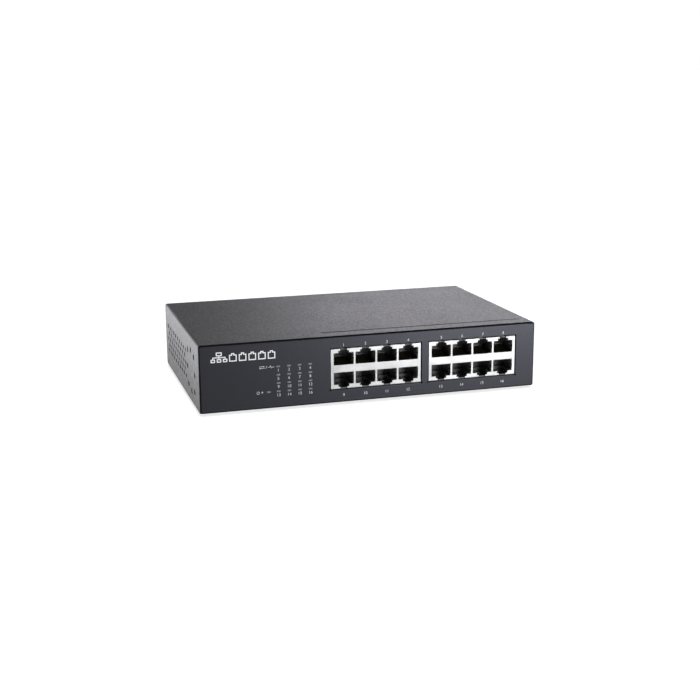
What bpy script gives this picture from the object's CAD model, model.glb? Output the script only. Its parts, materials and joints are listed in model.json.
"""Looks of a desktop network switch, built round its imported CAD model.

Everything is in metres in the CAD model's own frame: +Z up and the front panel towards -Y.
"""
import json
import math

import bpy
from mathutils import Matrix, Vector


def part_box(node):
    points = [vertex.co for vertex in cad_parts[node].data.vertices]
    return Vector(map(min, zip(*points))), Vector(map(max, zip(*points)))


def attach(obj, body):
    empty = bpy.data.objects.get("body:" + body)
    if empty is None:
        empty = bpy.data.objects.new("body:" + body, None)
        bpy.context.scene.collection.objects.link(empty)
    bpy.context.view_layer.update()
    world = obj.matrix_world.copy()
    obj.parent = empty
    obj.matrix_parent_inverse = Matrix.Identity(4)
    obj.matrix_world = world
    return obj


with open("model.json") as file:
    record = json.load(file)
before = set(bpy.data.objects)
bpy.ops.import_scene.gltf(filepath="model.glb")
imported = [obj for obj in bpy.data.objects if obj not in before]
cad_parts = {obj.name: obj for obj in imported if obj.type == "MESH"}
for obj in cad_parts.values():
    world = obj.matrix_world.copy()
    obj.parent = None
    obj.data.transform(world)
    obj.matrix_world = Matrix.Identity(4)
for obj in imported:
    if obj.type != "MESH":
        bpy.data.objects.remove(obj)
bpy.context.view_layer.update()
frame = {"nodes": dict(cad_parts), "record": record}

MM = 0.001
CASE = "case"
RECORD = frame["record"]


# ---- Places on the CAD model ----

case_low, case_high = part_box("chassis")
lamps_low, lamps_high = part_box("lamps")
blocks = [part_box("jack_shield_left"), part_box("jack_shield_right")]
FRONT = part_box("front_label")[0].y
CASE_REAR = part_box("top_cover")[1].y
INLET_FLANGE = 3 * MM
REAR_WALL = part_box("inlet_body")[1].y - INLET_FLANGE
LOCK_X, LOCK_Z = 88 * MM, case_low.z + 20 * MM
CASE_CENTRE = Vector((0, (case_low.y + CASE_REAR) / 2, (case_low.z + case_high.z) / 2))
PORTS = 16


# ---- Camera ----

def direction(azimuth, elevation):
    """Unit vector from the object towards a viewer; azimuth 0 is in front and 90 on the right."""
    a, e = math.radians(azimuth), math.radians(elevation)
    return Vector((math.sin(a) * math.cos(e), -math.cos(a) * math.cos(e), math.sin(e)))


def add_camera():
    """Camera a little left of the front and above it; distance and shifts are in metres."""
    azimuth, elevation = -16.658, 13.572
    roll = math.radians(-0.34)
    distance = 0.8044
    right_shift, up_shift = 0.00487, -0.00467
    back = direction(azimuth, elevation)
    right = (-back).cross(Vector((0, 0, 1))).normalized()
    up = right.cross(-back)
    turn = Matrix.Rotation(roll, 3, back)
    right = turn @ right
    up = turn @ up
    data = bpy.data.cameras.new("camera")
    data.sensor_width = 36
    data.lens = 61.71
    data.clip_start = 0.05
    data.clip_end = 50
    camera = bpy.data.objects.new("camera", data)
    place = CASE_CENTRE + back * distance + right * right_shift + up * up_shift
    camera.matrix_world = Matrix.Translation(place) @ Matrix((right, up, back)).transposed().to_4x4()
    bpy.context.scene.collection.objects.link(camera)
    bpy.context.scene.camera = camera


# ---- Node materials ----

class Finish:
    """One material's node tree, built a node at a time. Sizes are in metres of object space."""

    def __init__(self, name, **shader_values):
        self.material = bpy.data.materials.new(name)
        self.material.use_nodes = True
        self.tree = self.material.node_tree
        self.shader = self.tree.nodes["Principled BSDF"]
        self.place = self.tree.nodes.new("ShaderNodeTexCoord").outputs["Object"]
        for socket, value in shader_values.items():
            self.shader.inputs[socket.replace("_", " ")].default_value = value

    def node(self, kind, settings=None, **inputs):
        """Adds a node. Inputs are values or other nodes' outputs, by socket name, or as _0 by number."""
        made = self.tree.nodes.new("ShaderNode" + kind)
        for key, value in (settings or {}).items():
            setattr(made, key, value)
        for socket, value in inputs.items():
            target = made.inputs[int(socket[1:])] if socket[0] == "_" else made.inputs[socket]
            if isinstance(value, bpy.types.NodeSocket):
                self.tree.links.new(value, target)
            else:
                target.default_value = value
        return made

    def stretched(self, x, y, z):
        """Object coordinates scaled along each axis, so that a texture is drawn out along some."""
        return self.node("Mapping", Vector=self.place, Scale=(x, y, z)).outputs[0]

    def noise(self, size, detail=2.0, rough=0.5, place=None):
        """Cloudy noise from 0 to 1 whose lumps are about size metres."""
        return self.node("TexNoise", Vector=place or self.place, Scale=1 / size, Detail=detail,
                         Roughness=rough).outputs["Fac"]

    def ramp(self, value, low, high, start=0.0, end=1.0):
        """Maps value from [low, high] to [start, end], clamped."""
        made = self.node("MapRange", Value=value)
        for socket, number in zip(("From Min", "From Max", "To Min", "To Max"), (low, high, start, end)):
            made.inputs[socket].default_value = number
        return made.outputs[0]

    def blend(self, share, first, second):
        """Mixes two colours, given as (r, g, b) or as outputs."""
        made = self.tree.nodes.new("ShaderNodeMix")
        made.data_type = "RGBA"
        self.tree.links.new(share, made.inputs[0])
        for socket, colour in ((made.inputs[6], first), (made.inputs[7], second)):
            if isinstance(colour, bpy.types.NodeSocket):
                self.tree.links.new(colour, socket)
            else:
                socket.default_value = (*colour, 1)
        return made.outputs[2]

    def math(self, operation, first, second=0.0):
        return self.node("Math", {"operation": operation}, _0=first, _1=second).outputs[0]

    def in_front_of(self, y):
        """1 in front of y and 0 behind it."""
        return self.math("LESS_THAN", self.node("SeparateXYZ", Vector=self.place).outputs[1], y)

    def hole_walls(self, x, z):
        """1 on the walls of holes along X, outside |x| and under z, where hardly any paint settles."""
        here = self.node("SeparateXYZ", Vector=self.place).outputs
        facing = self.node("SeparateXYZ", Vector=self.node("TexCoord").outputs["Normal"]).outputs[0]
        outside = self.math("GREATER_THAN", self.math("ABSOLUTE", here[0]), x)
        under = self.math("LESS_THAN", here[2], z)
        across = self.ramp(self.math("ABSOLUTE", facing), 0.7, 0.97, 1, 0)
        return self.math("MULTIPLY", self.math("MULTIPLY", outside, under), across)

    def colour(self, output):
        self.tree.links.new(output, self.shader.inputs["Base Color"])

    def rough(self, output):
        self.tree.links.new(output, self.shader.inputs["Roughness"])

    def bump(self, height, depth, strength=1.0):
        """Adds relief of the given depth in metres on top of any that is there."""
        made = self.node("Bump", Height=height, Distance=depth, Strength=strength)
        there = self.shader.inputs["Normal"].links
        if there:
            self.tree.links.new(there[0].from_socket, made.inputs["Normal"])
        self.tree.links.new(made.outputs[0], self.shader.inputs["Normal"])


def powder_coat(name, dark, light, rough, dull=None, **values):
    """Fine-texture powder coat: rounded grains of uneven height and gloss.

    dull is a pair: a function that makes a mask from a Finish, and the matt colour where that is 1.
    """
    f = Finish(name, IOR=1.5, **values)
    grain = f.noise(0.0013, 3, 0.7)
    fine = f.noise(0.0006, 2, 0.6)
    mottle = f.noise(0.001, 2, 0.6, place=f.stretched(1, 0.65, 1))
    clouds = f.noise(0.03, 2)
    colour = f.blend(f.ramp(mottle, 0.36, 0.64), dark, light)
    uneven = 0.065
    speckle = f.ramp(mottle, 0.36, 0.64, rough + uneven, rough - uneven)
    gloss = f.math("ADD", f.ramp(clouds, 0.3, 0.7, -0.012, 0.012), speckle)
    if dull:
        make_mask, dull_colour = dull
        mask = make_mask(f)
        colour = f.blend(mask, colour, dull_colour)
        gloss = f.math("MAXIMUM", gloss, f.math("MULTIPLY", mask, 0.9))
    f.colour(colour)
    f.rough(gloss)
    f.bump(fine, 0.00004, 0.5)
    f.bump(grain, 0.00014, 0.8)
    return f.material


def printed_film(name):
    """Satin screen-printed film over the front panel."""
    f = Finish(name, IOR=1.45, Specular_IOR_Level=0.27, Specular_Tint=(0.83, 0.85, 1, 1))
    tooth = f.noise(0.00022, 2, 0.7)
    mottle = f.noise(0.0011, 3, 0.6)
    f.colour(f.blend(mottle, (0.004, 0.004, 0.005), (0.0105, 0.0105, 0.0125)))
    dulled = f.ramp(mottle, 0.35, 0.65, 0.42, 0.36)
    f.rough(f.math("ADD", f.ramp(tooth, 0.25, 0.75, -0.04, 0.04), dulled))
    f.bump(tooth, 0.00002, 0.5)
    f.bump(mottle, 0.00003, 0.4)
    return f.material


def moulded(name, colour, rough, grain=0.0003, relief=0.00002, **values):
    """Moulded plastic or rubber with a fine spark-eroded grain and faint flow marks."""
    f = Finish(name, **values)
    flow = f.noise(0.006, 3, place=f.stretched(1, 1, 3))
    darker = tuple(0.8 * c for c in colour)
    f.colour(f.blend(flow, darker, colour))
    texture = f.noise(grain, 2)
    f.rough(f.ramp(texture, 0.2, 0.8, rough - 0.07, rough + 0.07))
    f.bump(texture, relief, 0.6)
    return f.material


def metal(name, colour, rough, streak=(1, 12, 12), size=0.0012, relief=0.000006):
    """Plated or rolled metal with faint drawn streaks and a few duller patches."""
    f = Finish(name, Metallic=1.0)
    drawn = f.noise(size, 4, 0.7, place=f.stretched(*streak))
    patches = f.noise(0.009, 3)
    duller = tuple(0.86 * c for c in colour)
    f.colour(f.blend(f.ramp(patches, 0.35, 0.7), colour, duller))
    uneven = 0.06
    streaks = f.ramp(drawn, 0.3, 0.7, rough - uneven, rough + uneven)
    f.rough(f.math("ADD", streaks, f.ramp(patches, 0.4, 0.7, 0, uneven)))
    f.bump(drawn, relief, 0.5)
    return f.material


def circuit_board(name, mask, copper_under_mask):
    """Solder mask over a fine pattern of tracks."""
    f = Finish(name, IOR=1.5, Coat_Weight=0.3)
    brick_scale = 420.0
    rows = f.node("TexBrick", {"offset": 0.37, "squash": 0.6}, Vector=f.place, Scale=brick_scale)
    rows.inputs["Mortar Size"].default_value = 0.012
    tracks = f.math("MULTIPLY", f.ramp(f.noise(0.004, 1), 0.48, 0.52), rows.outputs["Fac"])
    f.colour(f.blend(tracks, mask, copper_under_mask))
    f.rough(f.ramp(f.noise(0.0004), 0.2, 0.8, 0.25, 0.4))
    f.bump(tracks, 0.00004, 0.5)
    return f.material


def lead_sleeve(name, colour):
    """Soft wire insulation, slightly glossy, with faint ripples."""
    f = Finish(name, IOR=1.5)
    ripple = f.noise(0.0015, 2)
    f.colour(f.blend(ripple, tuple(0.85 * c for c in colour), colour))
    f.rough(f.ramp(ripple, 0.3, 0.7, 0.3, 0.42))
    f.bump(ripple, 0.00003, 0.5)
    return f.material


def lamp_window(name):
    """Hazy grey moulding of the lamp guides, unlit."""
    f = Finish(name, IOR=1.49, Coat_Weight=0.4)
    haze = f.noise(0.0008, 2)
    f.colour(f.blend(haze, (0.075, 0.077, 0.08), (0.125, 0.128, 0.134)))
    f.rough(f.ramp(haze, 0.3, 0.7, 0.16, 0.28))
    f.bump(haze, 0.00001, 0.4)
    return f.material


def ink(name, thin, full):
    """Screen-printing ink, a little uneven in cover."""
    f = Finish(name, IOR=1.45)
    cover = f.noise(0.0002, 3)
    f.colour(f.blend(f.ramp(cover, 0.3, 0.6), (thin, thin, thin * 1.03), (full, full, full * 1.03)))
    f.rough(f.ramp(cover, 0.3, 0.7, 0.45, 0.6))
    f.bump(cover, 0.000006, 0.5)
    return f.material


def winding(name, colour):
    """Enamelled wire laid in turns."""
    f = Finish(name, Metallic=0.6)
    wave_scale = 260.0
    turns = f.node("TexWave", {"bands_direction": "X"}, Vector=f.place, Scale=wave_scale, Distortion=0.4)
    f.colour(f.blend(turns.outputs["Fac"], tuple(0.5 * c for c in colour), colour))
    f.rough(f.ramp(f.noise(0.0005), 0.3, 0.7, 0.25, 0.4))
    f.bump(turns.outputs["Fac"], 0.0002, 0.8)
    return f.material


# Both panels are 1 mm sheet. The paint masks end just behind the front plate's back, and just short
# of the cover's inside, so that no face lies on a mask's edge.
PLATE = 1.05 * MM
COVER_SHEET = 0.95 * MM
TOP_FOLD = 2.5 * MM


def case_paint(name):
    """Chassis paint, black on the front plate round the film."""
    front_plate = (lambda f: f.in_front_of(case_low.y + PLATE), (0.004, 0.004, 0.005))
    return powder_coat(name, (0.016, 0.016, 0.019), (0.026, 0.0255, 0.03), 0.52, front_plate,
                       Specular_IOR_Level=0.06)


def cover_paint(name):
    """Cover paint, nearly black on the walls of the side holes."""
    holes = (lambda f: f.hole_walls(case_high.x - COVER_SHEET, case_high.z - TOP_FOLD),
             (0.002, 0.002, 0.003))
    return powder_coat(name, (0.022, 0.022, 0.026), (0.036, 0.035, 0.041), 0.46, holes)


FINISHES = {
    "case_paint": case_paint,
    "cover_paint": cover_paint,
    "label_film": printed_film,
    "foot_rubber": lambda n: moulded(n, (0.018, 0.018, 0.018), 0.75, 0.0005, 0.00006, IOR=1.5),
    "black_screw": lambda n: metal(n, (0.06, 0.06, 0.065), 0.38, (4, 4, 4)),
    "shield_steel": lambda n: metal(n, (0.262, 0.262, 0.265), 0.46, (1, 10, 10), 0.0016),
    "jack_plastic": lambda n: moulded(n, (0.026, 0.026, 0.028), 0.24, IOR=1.6),
    "tinned_pin": lambda n: metal(n, (0.7, 0.7, 0.68), 0.3),
    "gold_contact": lambda n: metal(n, (0.19, 0.155, 0.09), 0.42, (10, 1, 10), 0.0008),
    "clear_pipe": lamp_window,
    "board_green": lambda n: circuit_board(n, (0.012, 0.085, 0.035), (0.03, 0.16, 0.06)),
    "lamp_body": lambda n: moulded(n, (0.75, 0.74, 0.62), 0.3, IOR=1.5),
    "header_plastic": lambda n: moulded(n, (0.5, 0.49, 0.44), 0.42, IOR=1.5),
    "chip_black": lambda n: moulded(n, (0.02, 0.02, 0.021), 0.5, 0.0002, IOR=1.5),
    "bare_aluminium": lambda n: metal(n, (0.78, 0.79, 0.8), 0.32, (12, 1, 12)),
    "capacitor_sleeve": lambda n: moulded(n, (0.03, 0.035, 0.055), 0.28, 0.0008, IOR=1.5),
    "ferrite": lambda n: moulded(n, (0.05, 0.05, 0.05), 0.55, 0.0004, 0.00005, IOR=1.5),
    "zinc_steel": lambda n: metal(n, (0.66, 0.67, 0.68), 0.34, (4, 4, 4)),
    "board_tan": lambda n: circuit_board(n, (0.32, 0.24, 0.09), (0.4, 0.32, 0.15)),
    "insulator_film": lambda n: moulded(n, (0.72, 0.68, 0.5), 0.5, 0.001, IOR=1.45),
    "winding_tape": lambda n: moulded(n, (0.78, 0.5, 0.07), 0.25, 0.002, IOR=1.5),
    "yellow_box": lambda n: moulded(n, (0.76, 0.58, 0.08), 0.35, IOR=1.5),
    "copper_winding": lambda n: winding(n, (0.65, 0.3, 0.12)),
    "fuse_glass": lambda n: moulded(n, (0.8, 0.8, 0.74), 0.2, 0.0006, IOR=1.5),
    "inlet_plastic": lambda n: moulded(n, (0.018, 0.018, 0.019), 0.42, 0.0004, 0.00003, IOR=1.5),
    "nickel_pin": lambda n: metal(n, (0.76, 0.74, 0.7), 0.22, (10, 1, 10)),
    "lead_brown": lambda n: lead_sleeve(n, (0.2, 0.08, 0.04)),
    "lead_green": lambda n: lead_sleeve(n, (0.1, 0.35, 0.06)),
    "lead_red": lambda n: lead_sleeve(n, (0.55, 0.05, 0.04)),
    "print_white": lambda n: ink(n, 0.48, 0.62),
    "print_grey": lambda n: ink(n, 0.3, 0.46),
}
made_finishes = {}


def finish(slot):
    """The material of one of the record's slots, made on first use."""
    if slot not in made_finishes:
        made_finishes[slot] = FINISHES[slot](slot)
    return made_finishes[slot]


def dress_cad_nodes():
    """Gives each CAD node the finish of its slot in the record."""
    for part in RECORD["subparts"]:
        node = frame["nodes"][part["node"]]
        node.data.materials.clear()
        node.data.materials.append(finish(part["material_slot"]))


# ---- Softened edges on the CAD nodes ----

WELD_REACH = 0.01 * MM
SHARP = math.radians(35)
EDGE_RADII = {  # in millimetres
    "top_cover": 0.12, "chassis": 0.1, "front_label": 0.05, "inlet_body": 0.08, "rubber_feet": 0.3,
    "jack_shield_left": 0.05, "jack_shield_right": 0.05, "jack_housing_left": 0.08,
    "jack_housing_right": 0.08, "cover_screws": 0.08, "inlet_screws": 0.06, "earth_screw": 0.1,
    "inlet_pins": 0.15,
}


def soften_edges():
    """Welds each node's split corners and rounds its sharp edges a little, as pressing and paint do."""
    for name, radius in EDGE_RADII.items():
        node = frame["nodes"][name]
        weld = node.modifiers.new("weld", "WELD")
        weld.merge_threshold = WELD_REACH
        bevel = node.modifiers.new("bevel", "BEVEL")
        bevel.width = radius * MM
        bevel.segments = 2
        bevel.limit_method = "ANGLE"
        bevel.angle_limit = SHARP
        bevel.harden_normals = False
        bevel.miter_outer = "MITER_ARC"


# ---- Printing on the panels ----

def wall_matrix(x, y, z, facing=-1):
    """Puts a flat drawing upright on a wall that faces -Y, or +Y with facing=1."""
    turn = Matrix.Rotation(math.pi, 4, "Z") if facing > 0 else Matrix.Identity(4)
    return Matrix.Translation((x, y, z)) @ turn @ Matrix.Rotation(math.pi / 2, 4, "X")


def mesh_from_curve(curve):
    """A curve's filled shape as plain mesh data."""
    carrier = bpy.data.objects.new("carrier", curve)
    bpy.context.scene.collection.objects.link(carrier)
    bpy.context.view_layer.update()
    mesh = bpy.data.meshes.new_from_object(carrier.evaluated_get(bpy.context.evaluated_depsgraph_get()))
    bpy.data.objects.remove(carrier)
    return mesh


INK = 0.02 * MM


def drawn(loops):
    """Flat ink shape from closed outlines in millimetres; an outline inside another is a hole."""
    curve = bpy.data.curves.new("drawing", "CURVE")
    curve.dimensions = "2D"
    curve.fill_mode = "BOTH"
    curve.extrude = INK
    for loop in loops:
        spline = curve.splines.new("POLY")
        spline.points.add(len(loop) - 1)
        spline.use_cyclic_u = True
        for point, (x, y) in zip(spline.points, loop):
            point.co = (x * MM, y * MM, 0, 1)
    return mesh_from_curve(curve)


def figures(text, height):
    """Flat ink shape of a number, centred, height in millimetres."""
    figure_share = 0.69  # a figure's height over the font's size
    curve = bpy.data.curves.new("figures", "FONT")
    curve.body = text
    curve.align_x = "CENTER"
    curve.align_y = "CENTER"
    curve.size = height * MM / figure_share
    curve.space_character = 1.05
    curve.offset = -0.01 * MM
    curve.extrude = INK
    curve.resolution_u = 6
    return mesh_from_curve(curve)


def joined(name, placed, slot):
    """One piece from (mesh, matrix) pairs, riding on the case."""
    mesh = bpy.data.meshes.new(name)
    vertices, faces = [], []
    for part, matrix in placed:
        start = len(vertices)
        vertices += [matrix @ v.co for v in part.vertices]
        faces += [[start + i for i in face.vertices] for face in part.polygons]
        bpy.data.meshes.remove(part)
    mesh.from_pydata(vertices, [], faces)
    mesh.validate()
    mesh.materials.append(finish(slot))
    piece = bpy.data.objects.new(name, mesh)
    bpy.context.scene.collection.objects.link(piece)
    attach(piece, CASE)


def rounded(x, y, w, h, r, steps=5):
    """Closed outline of a round-cornered rectangle centred on (x, y)."""
    corners = [(1, 1, 0), (-1, 1, 90), (-1, -1, 180), (1, -1, 270)]
    return [
        (x + sx * (w / 2 - r) + r * math.cos(math.radians(start + 90 * i / steps)),
         y + sy * (h / 2 - r) + r * math.sin(math.radians(start + 90 * i / steps)))
        for sx, sy, start in corners for i in range(steps + 1)
    ]


def ring(x, y, r, stroke, start=0.0, sweep=360.0, steps=36):
    """Outlines of a circular stroke; a part of a circle is one outline, a whole one is two."""
    def arc(radius, angles):
        turns = [math.radians(a) for a in angles]
        return [(x + radius * math.cos(turn), y + radius * math.sin(turn)) for turn in turns]

    if sweep >= 360:
        angles = [360 * i / steps for i in range(steps)]
        return [arc(r + stroke / 2, angles), arc(r - stroke / 2, angles)]
    angles = [start + sweep * i / steps for i in range(steps + 1)]
    return [arc(r + stroke / 2, angles) + arc(r - stroke / 2, angles[::-1])]


def bar(x, y, w, h):
    """Closed outline of a rectangle centred on (x, y)."""
    return [(x - w / 2, y - h / 2), (x + w / 2, y - h / 2), (x + w / 2, y + h / 2), (x - w / 2, y + h / 2)]


def strokes(points, width):
    """Straight strokes of even width through points."""
    made = []
    for (x0, y0), (x1, y1) in zip(points, points[1:]):
        half = width / 2 / math.hypot(x1 - x0, y1 - y0)
        dx, dy = (x1 - x0) * half, (y1 - y0) * half
        made.append([(x0 - dx + dy, y0 - dy - dx), (x1 + dx + dy, y1 + dy - dx),
                     (x1 + dx - dy, y1 + dy + dx), (x0 - dx - dy, y0 - dy + dx)])
    return made


def frame_outline(x, y, w, h, stroke):
    """Rectangle drawn as an even stroke with slightly round corners."""
    return [rounded(x, y, w, h, 0.25), rounded(x, y, w - 2 * stroke, h - 2 * stroke, 0.05)]


def socket_outline(x, y, w, h, stroke):
    """Jack's mouth drawn as an even stroke: a rectangle with a step on top."""
    step_w, step_h = 0.42 * w, 0.9

    def shape(inset):
        half, low, top = w / 2 - inset, y - h / 2 + inset, y + h / 2 - inset
        step = step_w / 2 - inset
        right = [(x + half, low), (x + half, top), (x + step, top), (x + step, top + step_h)]
        return right + [(2 * x - px, py) for px, py in reversed(right)]

    return [shape(0), shape(stroke)]


def network_mark():
    """Generic pictogram: one device joined to three others, beside a row of sockets."""
    tree_x, stroke, branch = -14.2, 0.6, 3.7
    first_socket, socket_pitch, sockets = -5.8, 5.9, 5
    drawings = [frame_outline(tree_x, 2.0, 3.6, 2.3, stroke)]
    drawings += [frame_outline(tree_x + branch * k, -2.0, 2.7, 2.1, stroke) for k in (-1, 0, 1)]
    drawings += [[bar(tree_x, 0, stroke, 2.0)], [bar(tree_x, -0.05, 2 * branch + stroke, stroke)]]
    drawings += [[bar(tree_x + branch * k, -0.6, stroke, 0.9)] for k in (-1, 1)]
    drawings += [socket_outline(first_socket + socket_pitch * k, -0.9, 4.6, 4.2, stroke)
                 for k in range(sockets)]
    return drawings


def link_icon():
    """Two opposed arrows and a pulse, for link and activity."""
    middle, reach, neck, shaft, head = -3, 1.7, 0.8, 0.12, 0.42

    def arrow(y, way):
        side = [(-reach, shaft), (neck, shaft), (neck, head)]
        outline = [(px, -py) for px, py in side] + [(reach, 0)] + side[::-1]
        return [(middle + way * px, y + py) for px, py in outline]

    pulse = [(0.7, -0.1), (1.7, -0.1), (2.3, 0.75), (2.9, -0.75), (3.4, -0.1), (4.6, -0.1)]
    slash = [(-0.6, -0.7), (0, 0.8)]
    return [[arrow(0.5, 1)], [arrow(-0.5, -1)]] + [[s] for s in strokes(pulse, 0.24) + strokes(slash, 0.2)]


def power_icon():
    """Broken ring with a stroke, and a flash, for power."""
    flash = [(1.5, 0.9), (0.5, -0.15), (1.1, -0.15), (0.7, -1.0), (1.9, 0.2), (1.25, 0.2)]
    return [ring(-1.3, -0.1, 0.8, 0.22, 125, 290), [bar(-1.3, 0.5, 0.22, 1.0)], [flash]]


def print_front_panel():
    """Port and lamp numbers, a mark and two icons in white and grey ink."""
    def on_panel(x, z):
        return wall_matrix(x, FRONT, z)

    number_height = 1.75
    over_block, under_block = 2.1 * MM, 4.1 * MM
    row = PORTS // 2
    block_row = row // len(blocks)
    port_numbers = []
    for port in range(1, PORTS + 1):
        low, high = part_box("port_contacts_%02d" % port)
        block_low, block_high = blocks[(port - 1) % row // block_row]
        z = block_high.z + over_block if port <= row else block_low.z - under_block
        port_numbers.append((figures(str(port), number_height), on_panel((low.x + high.x) / 2, z)))
    joined("port_numbers", port_numbers, "print_grey")

    half_lamp_w, half_lamp_h = 1.0 * MM, 0.6 * MM
    last_column = lamps_high.x - half_lamp_w
    first_row = lamps_high.z - half_lamp_h
    columns = 4
    pitch_x, pitch_z = 6.65 * MM, 5.18 * MM
    first_column = last_column - (columns - 1) * pitch_x
    under_lamp = 2.45 * MM
    lamp_numbers = []
    for lamp in range(PORTS):
        x = first_column + (lamp % columns) * pitch_x
        z = first_row - (lamp // columns) * pitch_z
        lamp_numbers.append((figures(str(lamp + 1), number_height), on_panel(x, z - under_lamp)))
    joined("lamp_numbers", lamp_numbers, "print_grey")

    mark_x = case_low.x + 26.4 * MM
    mark_z = case_low.z + 34.2 * MM
    mark = [(drawn(loops), on_panel(mark_x, mark_z)) for loops in network_mark()]
    joined("panel_mark", mark, "print_white")

    power_x, power_z = lamps_low.x + half_lamp_w, lamps_low.z + half_lamp_h
    before_lamps, before_power = 7.1 * MM, 5.3 * MM
    icons = [(drawn(loops), on_panel(first_column - before_lamps, first_row)) for loops in link_icon()]
    icons += [(drawn(loops), on_panel(power_x - before_power, power_z)) for loops in power_icon()]
    joined("panel_icons", icons, "print_grey")


def print_rear_wall():
    """Generic marks by the earth screw and by the cable lock's slot."""
    low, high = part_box("earth_screw")
    earth_x, earth_z = (low.x + high.x) / 2, (low.z + high.z) / 2
    earth = [ring(0, 0, 2.1, 0.28), [bar(0, 0.75, 0.28, 1.3)]]
    earth += [[bar(0, 0.1 - 0.5 * i, 2.2 - 0.7 * i, 0.28)] for i in range(3)]
    lock = [[bar(0, -0.5, 2.6, 1.9)], ring(0, 0.5, 0.85, 0.3, 0, 180)]
    above = 7.5 * MM
    marks = [(drawn(loops), wall_matrix(earth_x, REAR_WALL, earth_z + above, 1)) for loops in earth]
    marks += [(drawn(loops), wall_matrix(LOCK_X, REAR_WALL, LOCK_Z + above, 1)) for loops in lock]
    joined("rear_marks", marks, "print_grey")


# ---- Studio ----

FLOOR_GLOW = 0.76
FLOOR_WIDTH = 30


def add_floor():
    """Pale floor that glows as a light table does, so that shadows on it stay faint."""
    bpy.ops.mesh.primitive_plane_add(size=FLOOR_WIDTH)
    floor = bpy.context.object
    floor.name = "floor"
    f = Finish("floor", Roughness=0.85, Specular_IOR_Level=0.1, Emission_Strength=FLOOR_GLOW)
    f.shader.inputs["Emission Color"].default_value = (1, 1, 1, 1)
    f.colour(f.blend(f.noise(0.3, 2), (0.6, 0.6, 0.603), (0.62, 0.62, 0.623)))
    floor.data.materials.append(f.material)


def aimed(name, data, azimuth, elevation, distance=0.0, lift=0.0):
    """Adds a light that shines from a direction and distance at a point lift over the case's middle."""
    light = bpy.data.objects.new(name, data)
    towards = direction(azimuth, elevation)
    light.location = CASE_CENTRE + towards * distance
    if lift:
        towards = light.location - CASE_CENTRE - Vector((0, 0, lift))
    light.rotation_mode = "QUATERNION"
    light.rotation_quaternion = towards.to_track_quat("Z", "Y")
    bpy.context.scene.collection.objects.link(light)


def add_sun(name, azimuth, elevation, strength, angle):
    """Far light whose disc is angle degrees wide."""
    data = bpy.data.lights.new(name, "SUN")
    data.energy = strength
    data.angle = math.radians(angle)
    aimed(name, data, azimuth, elevation)


def add_panel(name, azimuth, elevation, distance, width, height, watts,
              spread=180, lift=0.0, tint=(1, 1, 1)):
    """Rectangular soft box, its light held to an angle of spread degrees."""
    data = bpy.data.lights.new(name, "AREA")
    data.shape = "RECTANGLE"
    data.size = width
    data.size_y = height
    data.energy = watts
    data.color = tint
    data.spread = math.radians(spread)
    aimed(name, data, azimuth, elevation, distance, lift)


HORIZON, BAND, OVERHEAD = 1.02, 0.05, 0.1
HORIZON_HEIGHTS = 0.13, 0.18
OVERHEAD_HEIGHTS = 0.55, 0.75


def add_world():
    """White surroundings up to just over the horizon, dark higher up, and a little paler overhead.

    The heights are sines of elevation, between which one strength fades into the next.
    """
    world = bpy.data.worlds.new("studio")
    world.use_nodes = True
    tree = world.node_tree
    place = tree.nodes.new("ShaderNodeTexCoord")
    split = tree.nodes.new("ShaderNodeSeparateXYZ")
    tree.links.new(place.outputs["Generated"], split.inputs[0])

    def fade(*numbers):
        made = tree.nodes.new("ShaderNodeMapRange")
        made.interpolation_type = "SMOOTHSTEP"
        for socket, number in zip(("From Min", "From Max", "To Min", "To Max"), numbers):
            made.inputs[socket].default_value = number
        tree.links.new(split.outputs["Z"], made.inputs["Value"])
        return made.outputs[0]

    total = tree.nodes.new("ShaderNodeMath")
    tree.links.new(fade(*HORIZON_HEIGHTS, HORIZON, BAND), total.inputs[0])
    tree.links.new(fade(*OVERHEAD_HEIGHTS, 0, OVERHEAD - BAND), total.inputs[1])
    tree.links.new(total.outputs[0], tree.nodes["Background"].inputs["Strength"])
    tree.nodes["Background"].inputs["Color"].default_value = (1, 1, 1, 1)
    bpy.context.scene.world = world


def add_lights():
    """A sun overhead and three panels. The two low ones stay under the level of the case's top."""
    add_sun("overhead", 60, 89, 1.5, 5)
    add_panel("left_strip", -98, 1, 0.34, 0.4, 0.025, 0.46, 27, 0.047)
    add_panel("back_right_box", 153, 15, 4.5, 2.1, 0.9, 24, tint=(0.99, 0.975, 1.05))
    add_panel("right_fill", 26, 0.1, 0.6, 0.24, 0.036, 3.0)
    add_world()


add_camera()
dress_cad_nodes()
soften_edges()
print_front_panel()
print_rear_wall()
add_floor()
add_lights()
bpy.context.scene.view_settings.view_transform = "Standard"
